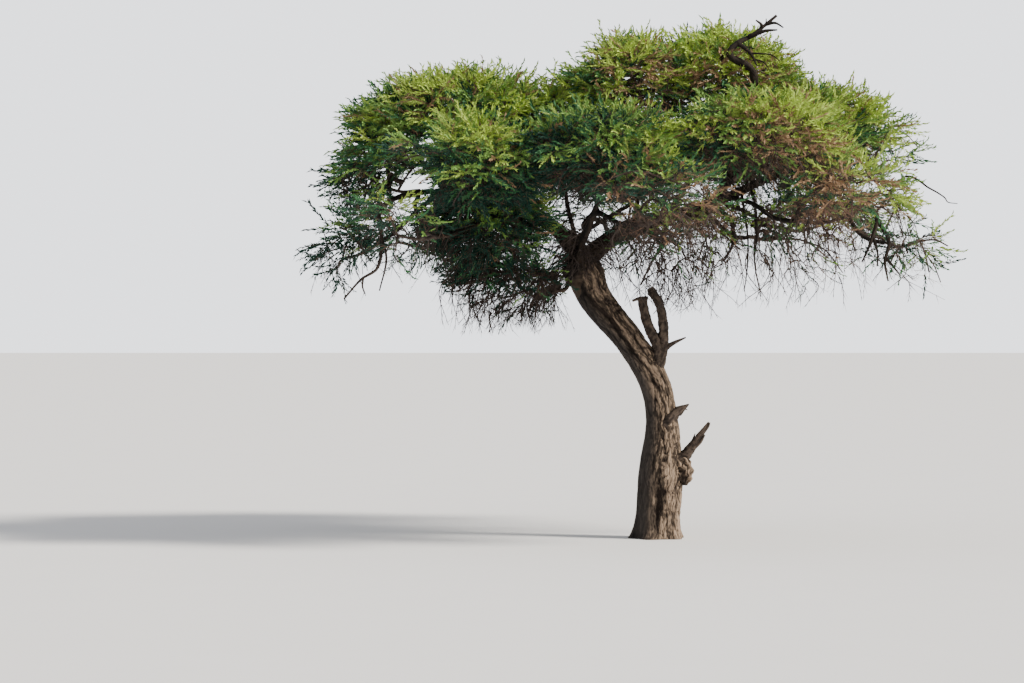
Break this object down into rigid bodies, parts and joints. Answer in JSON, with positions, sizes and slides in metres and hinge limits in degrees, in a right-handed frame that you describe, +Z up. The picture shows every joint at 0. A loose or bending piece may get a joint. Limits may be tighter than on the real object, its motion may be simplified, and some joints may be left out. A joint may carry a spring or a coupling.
{
  "type": "umbrella thorn acacia tree",
  "caption": "Umbrella thorn acacia with a leaning trunk, flared foot, broken dead limbs and a broad flat-topped crown of foliage masses over hanging twigs.",
  "frame": {"origin": "middle of the flat cut under the trunk at ground level", "axes": "+Z up the trunk, +X towards the side that the upper trunk leans away from, -Y towards the side that the picture shows"},
  "size_m": [12.6288, 10.9691, 10.0659],
  "materials": {
    "bark": "rough fissured bark, matte",
    "deadwood": "weathered dry wood, matte",
    "dense_foliage": "small leaves, matte",
    "open_foliage": "small leaves, matte",
    "bare_twigs": "thin dry twigs, matte"
  },
  "bodies": {
    "root": {"trunk": "bark", "twin_stub": "deadwood", "fin_stub": "deadwood", "broken_limb": "deadwood", "crown_snag": "deadwood", "dead_drop_left": "deadwood", "dead_drop_right": "deadwood", "bough_right_shoulder": "bark", "bough_left_dome": "bark", "bough_saddle": "bark", "bough_front_mid": "bark", "bough_back_mid": "bark", "bough_low_tangle": "bark", "bough_peak_left": "bark", "bough_peak_right": "bark", "bough_front_right": "bark", "bough_back_right": "bark", "bough_right_end": "bark", "bough_curtain_mid": "bark", "bough_curtain_right": "bark", "bough_front_left": "bark", "bough_back_left": "bark", "bough_left_end": "bark", "bough_low_green": "bark", "bough_front_skirt": "bark", "bough_back_skirt": "bark", "bough_front_right_skirt": "bark", "bough_back_right_skirt": "bark", "bough_front_left_skirt": "bark", "bough_back_left_skirt": "bark", "bough_left_skirt": "bark", "bough_right_skirt": "bark", "bough_right_tail": "bark", "mass_right_shoulder": "dense_foliage", "mass_left_dome": "dense_foliage", "mass_saddle": "dense_foliage", "mass_front_mid": "dense_foliage", "mass_back_mid": "dense_foliage", "mass_low_tangle": "bare_twigs", "mass_peak_left": "dense_foliage", "mass_peak_right": "dense_foliage", "mass_front_right": "dense_foliage", "mass_back_right": "dense_foliage", "mass_right_end": "open_foliage", "mass_curtain_mid": "bare_twigs", "mass_curtain_right": "bare_twigs", "mass_front_left": "dense_foliage", "mass_back_left": "dense_foliage", "mass_left_end": "dense_foliage", "mass_low_green": "dense_foliage", "mass_front_skirt": "open_foliage", "mass_back_skirt": "open_foliage", "mass_front_right_skirt": "open_foliage", "mass_back_right_skirt": "open_foliage", "mass_front_left_skirt": "open_foliage", "mass_back_left_skirt": "open_foliage", "mass_left_skirt": "open_foliage", "mass_right_skirt": "open_foliage", "mass_right_tail": "bare_twigs"}
  },
  "joints": []
}
